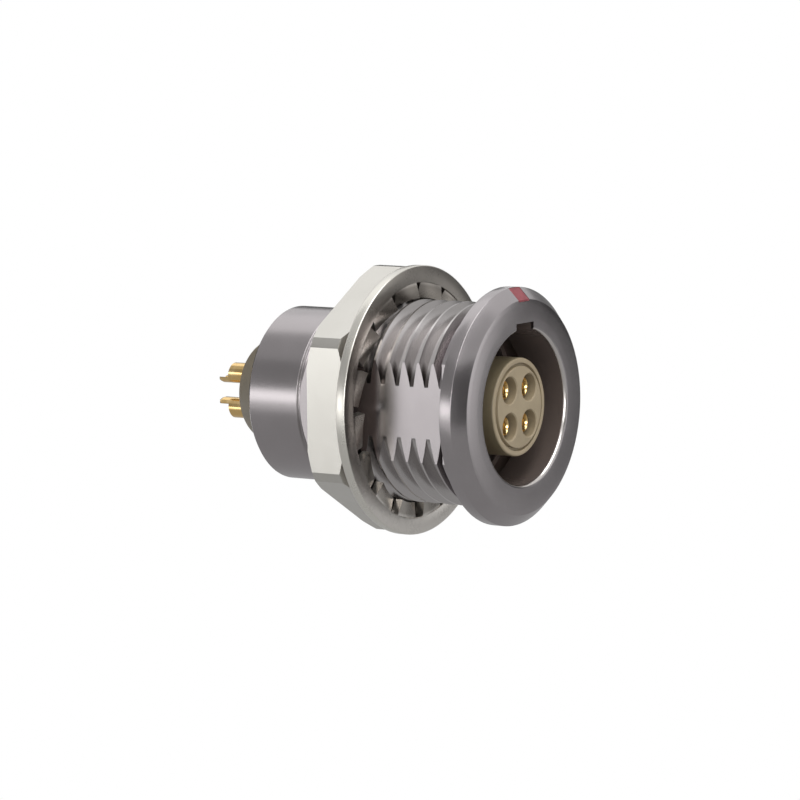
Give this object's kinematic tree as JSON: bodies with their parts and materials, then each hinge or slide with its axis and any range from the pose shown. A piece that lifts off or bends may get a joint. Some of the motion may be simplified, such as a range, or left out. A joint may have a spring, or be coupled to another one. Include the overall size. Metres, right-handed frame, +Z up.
{
  "type": "panel mount connector",
  "caption": "Round panel mount receptacle with a flanged threaded barrel, toothed lock washer, hex nut, keyed socket insert and solder cup contacts.",
  "frame": {"origin": "centre of the flange's rear face, the face that seats on the panel", "axes": "+Y along the connector's axis, from the mating face to the solder cups; +Z up, through the alignment mark and the key slot"},
  "size_m": [0.016, 0.021, 0.016],
  "materials": {
    "satin_chrome": "satin chrome plate on turned brass",
    "red_paint": "matt red paint",
    "spring_metal": "nickel plated spring bronze",
    "beige_plastic": "moulded engineering plastic",
    "olive_plastic": "moulded engineering plastic",
    "spring_steel": "spring steel",
    "plated_washer": "nickel plated, a little dull",
    "nickel_plate": "bright nickel plate on brass",
    "gold_plate": "gold plate on turned brass",
    "spring_clip": "nickel plated spring bronze"
  },
  "bodies": {
    "shell": {"outer_shell": "satin_chrome", "index_mark": "red_paint", "earthing_crown": "spring_metal", "front_insulator": "beige_plastic", "rear_insulator": "olive_plastic", "retaining_ring": "spring_steel", "contact_1": "gold_plate", "contact_2": "gold_plate", "contact_3": "gold_plate", "contact_4": "gold_plate", "contact_clip_1": "spring_clip", "contact_clip_2": "spring_clip", "contact_clip_3": "spring_clip", "contact_clip_4": "spring_clip"},
    "washer": {"lock_washer": "plated_washer"},
    "nut": {"hex_nut": "nickel_plate"}
  },
  "joints": [
    {"name": "nut_travel", "type": "slide", "parent": "shell", "child": "washer", "axis": [0, 1, 0], "range_m": [-0.00566, 0.00411]},
    {"name": "nut_turn", "type": "hinge", "parent": "washer", "child": "nut", "pos_m": [0, 0.0066, 0], "axis": [0, 1, 0], "range_deg": [-2034, 1476]}
  ],
  "couplings": [
    {"joint": "nut_travel", "follows": "nut_turn", "m_per_rad": 0.00015915}
  ]
}
